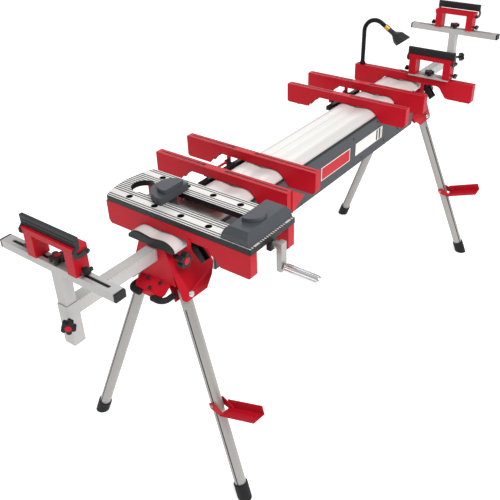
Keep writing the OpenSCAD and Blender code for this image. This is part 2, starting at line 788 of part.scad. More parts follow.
// The screw, its collar and the crank's arm are one welded piece.
module vise_screw() placed() color("silver") {
    end_y = -312;
    arm_t = 15;
    translate([screw_x, end_y, screw_z]) rod_y(screw_r, 130 - end_y);
    translate([screw_x, end_y, screw_z]) rod_y(11, 8);
    span([screw_x - 11, end_y - arm_t, screw_z - crank_radius - 12], [screw_x + 11, end_y, screw_z + 12]);
    translate([screw_x, end_y - arm_t - 92, screw_z - crank_radius]) rod_y(5, 92);
}

module crank_grip() placed() color("gainsboro") difference() {
    start = -327.5;
    translate([screw_x, grip_end_y, screw_z - crank_radius]) rod_y(12.5, start - grip_end_y);
    translate([screw_x, grip_end_y + 10, screw_z - crank_radius]) rod_y(5 + fit, 120);
}

// ---- Lamp -----------------------------------------------------------------

lamp_y = 169.5;
bend_r = 47;
bend_z = 928;
bend_sweep = 121;
neck_tip = 22;
collar_l = 18;

// Children are drawn at the lower end of the bend's far side, pointing down +Z.
module at_neck_tip() {
    translate([bar_single_x, lamp_y - bend_r, bend_z]) rotate([bend_sweep, 0, 0])
        translate([0, bend_r, 0]) children();
}

module lamp_neck() placed() color("black") {
    translate([bar_single_x, lamp_y, bar_top_z + gap]) cylinder(d = neck_d, h = bend_z - bar_top_z + 1);
    translate([bar_single_x, lamp_y, bar_top_z + gap]) cylinder(d = neck_d + 6, h = 9);
    translate([bar_single_x, lamp_y - bend_r, bend_z]) rotate([0, 90, 0]) rotate([0, 0, 90])
        rotate_extrude(angle = bend_sweep) translate([bend_r, 0]) circle(d = neck_d - 0.6);
    at_neck_tip() translate([0, 0, -1]) cylinder(d = neck_d, h = neck_tip + 1);
}

module lamp_collar() placed() color("goldenrod") at_neck_tip() translate([0, 0, neck_tip])
    cylinder(d = neck_d + 3, h = collar_l);

module lamp_head() placed() color("dimgray") at_neck_tip() translate([0, 0, neck_tip + collar_l])
difference() {
    rotate_extrude() polygon([[0, 0], [9, 0], [9.5, 18], [11, 25], [18.5, 35], [25, 46], [27, 62],
        [30, 86], [0, 86]]);
    rotate_extrude() polygon([[0, 40], [15, 40], [22, 48], [24, 62], [27.5, 90], [0, 90]]);
    // the slanting mouth
    translate([-60, -25, 62]) rotate([21.1, 0, 0]) translate([0, -60, 0]) cube([120, 160, 60]);
}

beam_extrusion();
side_panels();
end_caps();
leg_housing_near();
leg_housing_far();
housing_fasteners();
corner_bumpers();
tube_guides();
leg_near_left();
leg_near_right();
leg_far_left();
leg_far_right();
foot_near_left();
foot_near_right();
foot_far_left();
foot_far_right();
footrest_near();
footrest_far();
extension_near();
extension_far();
tee_post_near();
tee_post_far();
tee_caps_near();
tee_caps_far();
tube_knob_near();
tube_knob_far();
post_knob_near();
post_knob_far();
tee_knob_near();
tee_knob_far();
support_frame_near();
support_frame_far();
support_frame_mid();
frame_knobs_near();
frame_knobs_far();
frame_knobs_mid();
flip_stop_near();
flip_stop_far();
flip_stop_mid();
support_plate();
plate_knob();
bar_pair_near();
bar_pair_far();
bar_single();
clamp_bar_near();
clamp_bar_far();
clamp_lever_table();
clamp_lever_single();
bracket_pads_near();
bracket_pads_far();
table_rails();
table_top();
jaw_fixed();
jaw_moving();
screw_bearing();
vise_screw();
crank_grip();
lamp_neck();
lamp_collar();
lamp_head();
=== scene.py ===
import json
import math

import bmesh
import bpy
from mathutils import Matrix, Vector


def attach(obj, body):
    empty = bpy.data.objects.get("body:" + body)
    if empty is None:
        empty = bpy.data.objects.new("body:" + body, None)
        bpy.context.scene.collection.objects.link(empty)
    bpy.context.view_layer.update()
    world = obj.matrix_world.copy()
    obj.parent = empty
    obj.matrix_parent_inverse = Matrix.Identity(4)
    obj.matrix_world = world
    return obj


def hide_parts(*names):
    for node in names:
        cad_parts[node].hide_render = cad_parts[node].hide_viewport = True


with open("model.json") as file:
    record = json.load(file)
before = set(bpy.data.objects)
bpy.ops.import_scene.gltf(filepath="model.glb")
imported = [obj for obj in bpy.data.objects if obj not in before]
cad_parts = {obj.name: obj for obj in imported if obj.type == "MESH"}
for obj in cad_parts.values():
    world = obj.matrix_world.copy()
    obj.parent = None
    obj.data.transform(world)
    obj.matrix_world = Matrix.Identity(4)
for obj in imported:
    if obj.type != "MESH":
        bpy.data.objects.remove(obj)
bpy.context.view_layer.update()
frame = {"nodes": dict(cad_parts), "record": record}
nodes = frame["nodes"]


# ---- Where things are ------------------------------------------------------------
# Everything below is written in millimetres from the middle of the beam, on the
# floor: x runs along the beam from the near end to the far one, y across it.

# where the middle of the whole stand, the frame's origin, lies from the beam's middle
MID_X = 59.5
MID_Y = -55.520178
END = {"near": -1, "far": 1}

BEAM_END = 750
BEAM_HALF = 80
BEAM_WALL = 3
BEAM_FLOOR = 615
BEAM_LIP = 62
CROWN_FOOT = 742.1
PANEL_END = 606
PANEL_FACE = 86.6

TEE_X = {"near": -1033, "far": 1152}
TEE_TOP = 845.3
TUBE_HALF = 16.5
TUBE_TOP = 735
TUBE_MID_Z = 717.5

SINGLE_X = 653
BARS = {"bracket_near": (-403, -259), "bracket_far": (316, 460)}
BAR_TOP = 798
RAIL_X = (-704, -545)
TABLE_TOP = 816

FRONT_X = 752
SHELF_Z = 636
SHELF_SLOPE = math.atan2(23, 33)
LEG_PIVOT = (724, 74, 600)
SPLAY = math.radians(20.6)
LEAN = math.radians(5.8)


def P(x, y, z):
    """A point in millimetres as a point of the frame, in metres."""
    return Vector(((x - MID_X) / 1000, (y - MID_Y) / 1000, z / 1000))


# ---- Materials -------------------------------------------------------------------

# black below a finish's cut-off height: the table's black stripes, and painted shade in its dog
# holes
STRIPE_AND_SHADE_BLACK = (0.01, 0.01, 0.011)
ROUGH_SPREAD = 0.07
BUMP_DEPTH = 0.0004
BROAD_GRAIN = 9


def material(name, color, rough, metal=0.0, vary=0.06, grain=120.0, bump=0.05,
             stretch=(1, 1, 1), stripe_and_shade_below=None, shine=0.22):
    """A finish made of noise only.

    vary is how far the colour drifts each way, grain and stretch set the fine noise that
    goes into roughness and bump, and everything lower than the cut-off height in metres is
    painted black, for black stripes and as painted shade in holes.
    """
    m = bpy.data.materials.new(name)
    m.use_nodes = True
    nt = m.node_tree
    bsdf = nt.nodes["Principled BSDF"]
    bsdf.inputs["Metallic"].default_value = metal
    bsdf.inputs["Specular IOR Level"].default_value = shine
    tc = nt.nodes.new("ShaderNodeTexCoord")
    mp = nt.nodes.new("ShaderNodeMapping")
    mp.inputs["Scale"].default_value = stretch
    nt.links.new(tc.outputs["Object"], mp.inputs["Vector"])
    fine = nt.nodes.new("ShaderNodeTexNoise")
    fine.inputs["Scale"].default_value = grain
    fine.inputs["Detail"].default_value = 3
    broad = nt.nodes.new("ShaderNodeTexNoise")
    broad.inputs["Scale"].default_value = BROAD_GRAIN
    broad.inputs["Detail"].default_value = 4
    nt.links.new(mp.outputs["Vector"], fine.inputs["Vector"])
    nt.links.new(tc.outputs["Object"], broad.inputs["Vector"])
    mix = nt.nodes.new("ShaderNodeMix")
    mix.data_type = "RGBA"
    lighter = [min(1.0, c * (1 + vary) + 0.004) for c in color]
    darker = [c * (1 - vary) for c in color]
    mix.inputs["A"].default_value = (*darker, 1)
    mix.inputs["B"].default_value = (*lighter, 1)
    nt.links.new(broad.outputs["Fac"], mix.inputs["Factor"])
    base = mix.outputs["Result"]
    # everything below the cut-off height is painted black: black stripes, and painted shade in
    # holes
    if stripe_and_shade_below is not None:
        sep = nt.nodes.new("ShaderNodeSeparateXYZ")
        nt.links.new(tc.outputs["Object"], sep.inputs["Vector"])
        less = nt.nodes.new("ShaderNodeMath")
        less.operation = "LESS_THAN"
        less.inputs[1].default_value = stripe_and_shade_below
        nt.links.new(sep.outputs["Z"], less.inputs[0])
        pick = nt.nodes.new("ShaderNodeMix")
        pick.data_type = "RGBA"
        nt.links.new(less.outputs["Value"], pick.inputs["Factor"])
        nt.links.new(base, pick.inputs["A"])
        pick.inputs["B"].default_value = (*STRIPE_AND_SHADE_BLACK, 1)
        base = pick.outputs["Result"]
        inverse = nt.nodes.new("ShaderNodeMath")
        inverse.operation = "MULTIPLY_ADD"
        inverse.inputs[1].default_value = -metal
        inverse.inputs[2].default_value = metal
        nt.links.new(less.outputs["Value"], inverse.inputs[0])
        nt.links.new(inverse.outputs["Value"], bsdf.inputs["Metallic"])
    nt.links.new(base, bsdf.inputs["Base Color"])
    rr = nt.nodes.new("ShaderNodeMapRange")
    rr.inputs["To Min"].default_value = max(0.02, rough - ROUGH_SPREAD)
    rr.inputs["To Max"].default_value = min(1.0, rough + ROUGH_SPREAD)
    nt.links.new(fine.outputs["Fac"], rr.inputs["Value"])
    nt.links.new(rr.outputs["Result"], bsdf.inputs["Roughness"])
    if bump:
        bp = nt.nodes.new("ShaderNodeBump")
        bp.inputs["Strength"].default_value = bump
        bp.inputs["Distance"].default_value = BUMP_DEPTH
        nt.links.new(fine.outputs["Fac"], bp.inputs["Height"])
        nt.links.new(bp.outputs["Normal"], bsdf.inputs["Normal"])
    return m


# fine noise drawn out into brush marks along x, and along y
ALONG = (0.04, 1, 1)
ACROSS = (1, 0.05, 1)
# the grooves and dog holes in the table are cut below its face, so what is lower than this is
# painted black: the black stripes of the grooves, and painted shade in the dog holes
TABLE_FACE = (TABLE_TOP - 0.15) / 1000

# one finish for each material slot of the record
MAT = {
    "red_paint": material("red_paint", (0.45, 0.005, 0.015), 0.36, grain=260, bump=0.10,
                          shine=0.11),
    "beam_silver": material("beam_silver", (0.66, 0.645, 0.63), 0.36, 0.2, vary=0.02,
                            grain=300, stretch=ALONG),
    "leg_silver": material("leg_silver", (0.33, 0.32, 0.305), 0.34, 0.35, vary=0.06, grain=200),
    "tube_steel": material("tube_steel", (0.43, 0.42, 0.41), 0.36, 0.25, grain=260,
                           stretch=ALONG),
    "panel_grey": material("panel_grey", (0.038, 0.044, 0.051), 0.45, vary=0.08, grain=350,
                           bump=0.12),
    "cap_grey": material("cap_grey", (0.022, 0.023, 0.024), 0.45, grain=300, bump=0.10,
                         shine=0.14),
    "bolt_steel": material("bolt_steel", (0.62, 0.62, 0.63), 0.25, 0.9, grain=90),
    "black_rubber": material("black_rubber", (0.010, 0.010, 0.011), 0.62, vary=0.2, grain=240,
                             bump=0.25, shine=0.16),
    "knob_black": material("knob_black", (0.010, 0.010, 0.011), 0.40, vary=0.2, grain=220,
                           bump=0.10, shine=0.16),
    "guide_plastic": material("guide_plastic", (0.02, 0.02, 0.021), 0.5, vary=0.2),
    "stop_grey": material("stop_grey", (0.019, 0.021, 0.023), 0.42, vary=0.08, grain=260,
                          bump=0.10, shine=0.16),
    "clamp_black": material("clamp_black", (0.010, 0.010, 0.011), 0.40, vary=0.2, grain=220,
                            bump=0.10, shine=0.16),
    # below its face the table is painted black: the stripes in its grooves, and painted shade in
    # its dog holes
    "table_silver": material("table_silver", (0.62, 0.61, 0.59), 0.38, 0.2, vary=0.03,
                             grain=240, stretch=ACROSS, stripe_and_shade_below=TABLE_FACE),
    "jaw_grey": material("jaw_grey", (0.052, 0.057, 0.066), 0.45, vary=0.10, grain=280,
                         bump=0.2),
    "screw_steel": material("screw_steel", (0.34, 0.33, 0.32), 0.32, 0.6, grain=160),
    "grip_steel": material("grip_steel", (0.70, 0.70, 0.71), 0.18, 0.9, grain=120),
    "neck_black": material("neck_black", (0.007, 0.007, 0.008), 0.38, vary=0.2, grain=200,
                           shine=0.14),
    "collar_brass": material("collar_brass", (0.60, 0.36, 0.08), 0.28, 0.8, grain=120),
    "lamp_grey": material("lamp_grey", (0.030, 0.031, 0.032), 0.34, 0.2, grain=200, bump=0.08,
                          shine=0.18),
}
# finishes of the pieces that only the scene has
RED_CAP = material("red_cap", (0.46, 0.006, 0.016), 0.36, grain=200, shine=0.11)
# black for print, also used as painted shade in slots and gaps
INK_AND_SHADE = material("ink_and_shade_black", (0.008, 0.008, 0.009), 0.5, vary=0.3)
LENS = material("lens_white", (0.85, 0.85, 0.80), 0.2, vary=0.03)
BLANK = material("blank_plate", (0.72, 0.70, 0.68), 0.42, 0.1, vary=0.04)
SCALE_GREY = material("scale_grey", (0.16, 0.16, 0.16), 0.5, vary=0.1)
# dark steel for screws and bolts, also used as painted shade in the leg grooves
DARK_STEEL_AND_SHADE = material("dark_steel_and_shade", (0.03, 0.03, 0.032), 0.32, 0.5, vary=0.2)
SLOT_OF = {s["node"]: s["material_slot"] for s in frame["record"]["subparts"]}


# ---- CAD nodes: finish and softened edges ----------------------------------------

BEVEL_MM = {
    "red_paint": 1.4, "beam_silver": 0.4, "leg_silver": 0.5, "tube_steel": 0.6,
    "panel_grey": 0.8, "cap_grey": 0.8, "bolt_steel": 0.5, "black_rubber": 1.2,
    "knob_black": 1.2, "guide_plastic": 0.5, "stop_grey": 0.8, "clamp_black": 1.0,
    "table_silver": 0.5, "jaw_grey": 2.0, "screw_steel": 0.6, "grip_steel": 0.8,
    "neck_black": 0.6, "collar_brass": 0.8, "lamp_grey": 0.6,
}
# an edge that turns by more than this is softened
SHARP = math.radians(32)
WELD_M = 0.00002


def soften(obj, width_mm):
    """Rounds an object's sharp edges and shades it smooth."""
    obj.data.polygons.foreach_set("use_smooth", [True] * len(obj.data.polygons))
    weld = obj.modifiers.new("weld", "WELD")
    weld.merge_threshold = WELD_M
    bevel = obj.modifiers.new("bevel", "BEVEL")
    bevel.width = width_mm / 1000
    bevel.segments = 2
    bevel.limit_method = "ANGLE"
    bevel.angle_limit = SHARP
    bevel.use_clamp_overlap = True
    flat = obj.modifiers.new("weighted", "WEIGHTED_NORMAL")
    flat.keep_sharp = True
    flat.weight = 60


for name, obj in nodes.items():
    kind = SLOT_OF[name]
    if "custom_normal" in obj.data.attributes:
        obj.data.attributes.remove(obj.data.attributes["custom_normal"])
    obj.data.materials.clear()
    obj.data.materials.append(MAT[kind])
    soften(obj, BEVEL_MM[kind])


# ---- Tools for the pieces that the CAD leaves plain ------------------------------

def grow(name, verts, faces, mat, body, bevel_mm=0.0, smooth=False):
    """A mesh from points in millimetres, riding on a body of the frame.
    """
    me = bpy.data.meshes.new(name)
    me.from_pydata([P(*v) for v in verts], [], faces)
    me.validate()
    bm = bmesh.new()
    bm.from_mesh(me)
    bmesh.ops.recalc_face_normals(bm, faces=bm.faces)
    bm.to_mesh(me)
    bm.free()
    obj = bpy.data.objects.new(name, me)
    bpy.context.scene.collection.objects.link(obj)
    me.materials.append(mat)
    if bevel_mm:
        soften(obj, bevel_mm)
    elif smooth:
        me.polygons.foreach_set("use_smooth", [True] * len(me.polygons))
    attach(obj, body)
    return obj


def ring_faces(rows, sides):
    """Faces that join rows of points round a tube, closed at both ends."""
    faces = []
    for k in range(rows - 1):
        for i in range(sides):
            j = (i + 1) % sides
            low, high = k * sides, (k + 1) * sides
            faces.append((low + i, low + j, high + j, high + i))
    faces.append(tuple(range(sides - 1, -1, -1)))
    faces.append(tuple((rows - 1) * sides + i for i in range(sides)))
    return faces


class Shape:
    """Collects boxes, turned pieces and prisms into one mesh."""

    def __init__(self):
        self.verts = []
        self.faces = []

    def add(self, verts, faces):
        base = len(self.verts)
        self.verts += [tuple(v) for v in verts]
        self.faces += [tuple(base + i for i in f) for f in faces]

    def box(self, lo, hi):
        v = [(x, y, z) for x in (lo[0], hi[0]) for y in (lo[1], hi[1]) for z in (lo[2], hi[2])]
        self.add(v, [(0, 1, 3, 2), (4, 6, 7, 5), (0, 4, 5, 1),
                     (2, 3, 7, 6), (0, 2, 6, 4), (1, 5, 7, 3)])

    def strip(self, side, y0, y1, z0, z1):
        """A box as long as the side panels, on one side of the beam."""
        low, high = sorted((side * y0, side * y1))
        self.box((-PANEL_END, low, z0), (PANEL_END, high, z1))

    def lathe(self, at, axis, profile, sides):
        """profile is a list of (distance along axis, radius), closed at both ends."""
        axis = Vector(axis).normalized()
        u = axis.orthogonal().normalized()
        v = axis.cross(u)
        verts = []
        for d, r in profile:
            for i in range(sides):
                a = 2 * math.pi * i / sides
                verts.append(Vector(at) + axis * d + (u * math.cos(a) + v * math.sin(a)) * r)
        self.add(verts, ring_faces(len(profile), sides))

    def prism_x(self, outline, x0, x1):
        """Extrudes the closed outline (y, z) from x0 to x1."""
        n = len(outline)
        verts = [(x, y, z) for x in (x0, x1) for y, z in outline]
        faces = [(i, (i + 1) % n, n + (i + 1) % n, n + i) for i in range(n)]
        faces += [tuple(range(n - 1, -1, -1)), tuple(range(n, 2 * n))]
        self.add(verts, faces)


def smooth_line(points, steps):
    """Catmull-Rom through the points."""
    out = []
    for i in range(len(points) - 1):
        p0 = points[max(i - 1, 0)]
        p1, p2 = points[i], points[i + 1]
        p3 = points[min(i + 2, len(points) - 1)]
        for k in range(steps):
            t = k / steps
            out.append(tuple(0.5 * (2 * b + (c - a) * t + (2 * a - 5 * b + 4 * c - d) * t * t
                                    + (3 * b - a - 3 * c + d) * t ** 3)
                             for a, b, c, d in zip(p0, p1, p2, p3)))
    out.append(points[-1])
    return out


# ---- The beam --------------------------------------------------------------------

# the crown's upper face from its middle outwards, as (y, z)
HALF_CROWN = [(0, 763.2), (20, 765.6), (42, 767.8), (58, 765.8), (70, 759.8), (78, 752.0)]
GROOVE_YS = (22, 58)
GROOVE_HALF = 1.3
GROOVE_DEEP = 1.8
# a groove is only cut where the crown's line has this much room on each side of it
GROOVE_ROOM = 1.6
SPLIT_ANGLE = math.radians(35)
CAP_THICK = 7
CAP_INSET = 0.4


def crown_line(inset):
    """The crown's line from edge to edge, as (y, z), drawn in by inset."""
    edge = BEAM_HALF - inset
    half = [(y * edge / BEAM_HALF, z - inset) for y, z in HALF_CROWN] + [(edge, CROWN_FOOT)]
    both = [(-y, z) for y, z in reversed(half)] + half[1:]
    return smooth_line(both, 5)


def beam_crown():
    """The crown with its grooves, and the side walls it stands on."""
    outer = crown_line(0)
    line = []
    for (y0, z0), (y1, z1) in zip(outer, outer[1:]):
        line.append((y0, z0))
        for g in GROOVE_YS:
            if y0 < g - GROOVE_ROOM and y1 > g + GROOVE_ROOM:
                z = z0 + (z1 - z0) * (g - y0) / (y1 - y0)
                line += [(g - GROOVE_HALF, z + (z0 - z) * GROOVE_HALF / (g - y0)),
                         (g, z - GROOVE_DEEP),
                         (g + GROOVE_HALF, z + (z1 - z) * GROOVE_HALF / (y1 - g))]
    line.append(outer[-1])
    inner = crown_line(BEAM_WALL)
    shape = Shape()
    shape.prism_x(line + inner[::-1], -BEAM_END, BEAM_END)
    for side in (-1, 1):
        shape.strip(side, BEAM_HALF - BEAM_WALL, BEAM_HALF, BEAM_FLOOR + BEAM_WALL, CROWN_FOOT)
        shape.strip(side, BEAM_LIP, BEAM_HALF, BEAM_FLOOR, BEAM_FLOOR + BEAM_WALL)
    obj = grow("beam_crown", shape.verts, shape.faces, MAT["beam_silver"], "beam",
               smooth=True)
    edge = obj.modifiers.new("split", "EDGE_SPLIT")
    edge.split_angle = SPLIT_ANGLE
    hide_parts("beam_extrusion")


def crown_caps():
    """The grey caps at the crown's ends."""
    outline = crown_line(CAP_INSET)
    shape = Shape()
    shape.prism_x(outline, BEAM_END, BEAM_END + CAP_THICK)
    shape.prism_x(outline, -BEAM_END - CAP_THICK, -BEAM_END)
    obj = grow("crown_caps", shape.verts, shape.faces, MAT["cap_grey"], "beam",
               bevel_mm=BEVEL_MM["cap_grey"])
    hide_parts("end_caps")


# painted shade: a black strip in the gap above each panel, as (y from, y to, z from, z to)
GAP_SHADE_STRIP = (80.2, 84, 745, 749)
# as (x, z)
PANEL_SCREWS = ((-484, 638), (-312, 727), (-206, 630), (142, 724), (206, 630), (312, 727),
                (370, 635), (484, 638))
SCREW_HEAD = [(0, 4), (1.0, 4), (1.6, 2.6), (0.9, 1.8)]
# as (x from, z from, x to, z to)
PLATES = ((-64, 652, 120, 699), (158, 654, 352, 699))
PLATE_FIELD = (-60, 655, 116, 696)
PLATE_BARS = ((306, 657, 315, 696), (326, 657, 335, 696))
# how far the outer face stands off the panel, and the thickness
PLATE_SIZE = (1, 0.8)
PRINT_SIZE = (1.3, 0.6)


def on_panel(shape, area, lift, thick):
    """A flat box on the panel at the crank side, its outer face lift above the panel."""
    x0, z0, x1, z1 = area
    shape.box((x0, -PANEL_FACE - lift, z0), (x1, -PANEL_FACE - lift + thick, z1))


def panel_details():
    """Painted shade as a black strip in the gap above each panel, its screws, and two blank
    plates.
    """
    gap_shade = Shape()
    screws = Shape()
    for side in (-1, 1):
        gap_shade.strip(side, *GAP_SHADE_STRIP)
        for x, z in PANEL_SCREWS:
            screws.lathe((x, side * PANEL_FACE, z), (0, side, 0), SCREW_HEAD, 16)
    # the black strip is painted shade in the gap between crown and panel
    grow("panel_gap_shade", gap_shade.verts, gap_shade.faces, INK_AND_SHADE, "beam")
    grow("panel_screws", screws.verts, screws.faces, DARK_STEEL_AND_SHADE, "beam")
    base = Shape()
    for area in PLATES:
        on_panel(base, area, *PLATE_SIZE)
    grow("blank_plates", base.verts, base.faces, BLANK, "beam")
    field = Shape()
    on_panel(field, PLATE_FIELD, *PRINT_SIZE)
    grow("plate_field", field.verts, field.faces, RED_CAP, "beam")
    bars = Shape()
    for area in PLATE_BARS:
        on_panel(bars, area, *PRINT_SIZE)
    grow("plate_bars", bars.verts, bars.faces, INK_AND_SHADE, "beam")


# ---- Tubes, tees and tool bars ---------------------------------------------------

# each knob's face: how far it is from the beam's middle plane, the post's corner or
# the tee bar, then the radius of its cap and how far the cap rises
TUBE_KNOB_FACE, TUBE_CAP = 99.5, (10, 2.0)
POST_KNOB_FACE, POST_CAP = 32.5, (8, 2.0)
TEE_KNOB_FACE, TEE_CAP = 18.5, (8.3, 2.2)
TUBE_KNOB_X = 730
POST_CORNER = 17.3
POST_KNOB_Z = {"near": 700, "far": 716}


def knob_cap(body, at, axis, r, rise):
    """A red disc let into the top of a knob."""
    shape = Shape()
    shape.lathe(at, axis, [(0, r), (1.4, r), (rise, 0.85 * r)], 28)
    grow(body.replace("knob", "knob_cap"), shape.verts, shape.faces, RED_CAP, body)


def knob_caps():
    """The red caps of the knobs on the housings, the posts and the tee bars."""
    for end, s in END.items():
        knob_cap("tube_knob_" + end, (s * TUBE_KNOB_X, -TUBE_KNOB_FACE, TUBE_MID_Z), (0, -1, 0),
                 *TUBE_CAP)
        out = Vector((s, -1, 0)).normalized()
        corner = Vector((TEE_X[end] + s * POST_CORNER, -POST_CORNER, POST_KNOB_Z[end]))
        knob_cap("post_knob_" + end, corner + out * POST_KNOB_FACE, out, *POST_CAP)
        knob_cap("tee_knob_" + end, (TEE_X[end], 0, TEE_TOP + TEE_KNOB_FACE), (0, 0, 1), *TEE_CAP)


SCALE_X = 768
SCALE_PITCH = 10
SCALE_MARKS = 25
MARK_HALF = 0.45
MARK_LONG, MARK_SHORT = 4.5, 2.5
# how far the marks stop short of the tube's upper edge, on its side and on its top
MARK_BELOW, MARK_BESIDE = 2, 1.5


def tube_scale():
    """Marks on the side and the top of each extension tube, every fifth one long."""
    top = TUBE_TOP - MARK_BELOW
    edge = MARK_BESIDE - TUBE_HALF
    for end, s in END.items():
        marks = Shape()
        for k in range(SCALE_MARKS):
            x = s * (SCALE_X + SCALE_PITCH * k)
            long = MARK_SHORT if k % 5 else MARK_LONG
            marks.box((x - MARK_HALF, -TUBE_HALF - 0.2, top - long),
                      (x + MARK_HALF, -TUBE_HALF + 0.1, top))
            marks.box((x - MARK_HALF, edge, TUBE_TOP - 0.1),
                      (x + MARK_HALF, edge + long, TUBE_TOP + 0.2))
        grow("tube_scale_" + end, marks.verts, marks.faces, SCALE_GREY, "extension_" + end)


# a bar's slots, as (y from, y to, y of the round hole that opens into it)
BAR_SLOTS = ((-188, 26, 26), (112, 279, 112))
BAR_SLOT_HALF = 2.45
BAR_HOLE_R = 5.95


def bar_slot_shade():
    """Painted shade in the slots in the bars' tops: black sheets a little below the metal."""
    def one(shape, x, mirror):
        shade_z = BAR_TOP - 2.2
        for y0, y1, hole in BAR_SLOTS:
            a, b = sorted((mirror * y0, mirror * y1))
            shape.box((x - BAR_SLOT_HALF, a, shade_z), (x + BAR_SLOT_HALF, b, shade_z + 1.2))
            shape.lathe((x, mirror * hole, shade_z), (0, 0, 1),
                        [(0, BAR_HOLE_R), (1.1, BAR_HOLE_R)], 24)
    for body, xs in BARS.items():
        shape = Shape()
        for x in xs:
            one(shape, x, 1)
        grow(body + "_slot_shade", shape.verts, shape.faces, INK_AND_SHADE, body)
    shape = Shape()
    one(shape, SINGLE_X, -1)
    grow("bracket_single_slot_shade", shape.verts, shape.faces, INK_AND_SHADE, "bracket_single")


TEE_SLOT_YS = (-160, 30)
TEE_SLOT_LONG = 130
TEE_SLOT_R = 4.45
TEE_SLOT_Z = 841.1


def tee_slot_shade():
    """Painted shade in the slots in the tee bars: black sheets below the metal."""
    r, z = TEE_SLOT_R, TEE_SLOT_Z
    for end, x in TEE_X.items():
        shape = Shape()
        for y0 in TEE_SLOT_YS:
            shape.box((x - r, y0, z), (x + r, y0 + TEE_SLOT_LONG, z + 1.3))
            for y in (y0, y0 + TEE_SLOT_LONG):
                shape.lathe((x, y, z), (0, 0, 1), [(0, r), (1.2, r)], 20)
        grow("tee_slot_shade_" + end, shape.verts, shape.faces, INK_AND_SHADE, "tee_" + end)


FOOT_YS = (161, -251)
FOOT_Z = 728.3
# turned pieces are given as (distance along the axis, radius)
FOOT = [(0, 6), (4, 6), (5, 5)]


def rubber_feet():
    """Pads under the deep ends of the single bar and of the table's rails."""
    for body, xs in (("bracket_single", (SINGLE_X,)), ("table", RAIL_X)):
        shape = Shape()
        for x in xs:
            for y in FOOT_YS:
                shape.lathe((x, y, FOOT_Z), (0, 0, -1), FOOT, 20)
        grow(body + "_feet", shape.verts, shape.faces, MAT["black_rubber"], body)


# ---- Housings and legs -----------------------------------------------------------

# as (x, y)
SHELF_BOLTS = ((758, -22), (758, 22), (776, 0))
SHELF_BOLT = [(0, 5.5), (3.0, 5.5), (4.4, 4.2), (4.6, 2.4), (3.0, 2.2)]
LEG_BOLT = [(0, 9), (3.5, 9), (5.4, 7.6), (5.9, 5)]
LEG_BOLT_AT = 24
SHANK_HALF, SHANK_R = 27.9, 5


def fasteners():
    """The bolts on the shelves and the bolts that the legs turn on."""
    shelf = Shape()
    legs = Shape()
    up = Vector((math.sin(SHELF_SLOPE), 0, math.cos(SHELF_SLOPE)))
    for s in END.values():
        axis = Vector((s * up.x, 0, up.z))
        for x, y in SHELF_BOLTS:
            z = SHELF_Z - (x - FRONT_X) * math.tan(SHELF_SLOPE)
            shelf.lathe((s * x, y, z), axis, SHELF_BOLT, 20)
        for side in (-1, 1):
            turn = Matrix.Rotation(side * SPLAY, 3, "X")
            pivot = Vector((s * LEG_PIVOT[0], side * LEG_PIVOT[1], LEG_PIVOT[2]))
            out = turn @ Vector((0, 1, 0))
            legs.lathe(pivot - out * SHANK_HALF, out, [(0, SHANK_R), (2 * SHANK_HALF, SHANK_R)],
                       24)
            for way in (1, -1):
                legs.lathe(pivot + out * (way * LEG_BOLT_AT), out * way, LEG_BOLT, 28)
    grow("shelf_bolts", shelf.verts, shelf.faces, DARK_STEEL_AND_SHADE, "beam")
    obj = grow("leg_bolts", legs.verts, legs.faces, MAT["bolt_steel"], "beam",
               bevel_mm=0.3)
    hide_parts("housing_fasteners")


# how far round the tube the groove sits, in degrees
LEG_TURNS = {("near", "left"): 165, ("near", "right"): 195,
             ("far", "left"): 150, ("far", "right"): 240}
LEG_GROOVE_HALF = 1.95
LEG_GROOVE_R = (15.6, 16.2)
# where the groove starts below the pivot, and how far above the floor it ends
LEG_GROOVE_START, LEG_GROOVE_STOP = 42, 16


def leg_groove_shade():
    """Painted shade: dark strips along the floors of the long grooves in the leg tubes."""
    run = LEG_PIVOT[2] / (math.cos(SPLAY) * math.cos(LEAN))
    for (end, hand), turn in LEG_TURNS.items():
        s = END[end]
        side = 1 if hand == "left" else -1
        place = (Matrix.Translation((s * LEG_PIVOT[0], side * LEG_PIVOT[1], LEG_PIVOT[2]))
                 @ Matrix.Rotation(side * SPLAY, 4, "X") @ Matrix.Rotation(-s * LEAN, 4, "Y")
                 @ Matrix.Rotation(math.radians(turn), 4, "Z"))
        strip = Shape()
        strip.box((LEG_GROOVE_R[0], -LEG_GROOVE_HALF, LEG_GROOVE_STOP - run),
                  (LEG_GROOVE_R[1], LEG_GROOVE_HALF, -LEG_GROOVE_START))
        name = "leg_%s_%s" % (end, hand)
        grow(name + "_groove_shade", [place @ Vector(v) for v in strip.verts], strip.faces, DARK_STEEL_AND_SHADE,
             name)


# ---- The crank's grip and the lamp -----------------------------------------------

GRIP_X, GRIP_Y, GRIP_Z = -624, -327.5, 728
# distance from the crank, radius and depth of the flutes
GRIP_ROWS = [(0.4, 6.0, 0), (0.9, 9.0, 0), (3.0, 10.6, 0), (6.0, 11.0, 0), (9.0, 11.6, 0.9),
             (60.0, 11.7, 0.9), (97.0, 11.2, 0.9), (100.0, 10.6, 0), (103.6, 10.2, 0),
             (105.0, 8.5, 0), (105.4, 5.0, 0)]
FLUTES = 10


def fluted_grip():
    """The spinning grip, with flutes along its middle."""
    sides = 8 * FLUTES
    verts = []
    for d, r, depth in GRIP_ROWS:
        for i in range(sides):
            a = 2 * math.pi * i / sides
            rr = r + depth * math.cos(FLUTES * a)
            verts.append((GRIP_X + rr * math.cos(a), GRIP_Y - d, GRIP_Z + rr * math.sin(a)))
    obj = grow("fluted_grip", verts, ring_faces(len(GRIP_ROWS), sides), MAT["grip_steel"],
               "crank_grip", smooth=True)
    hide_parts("crank_grip")


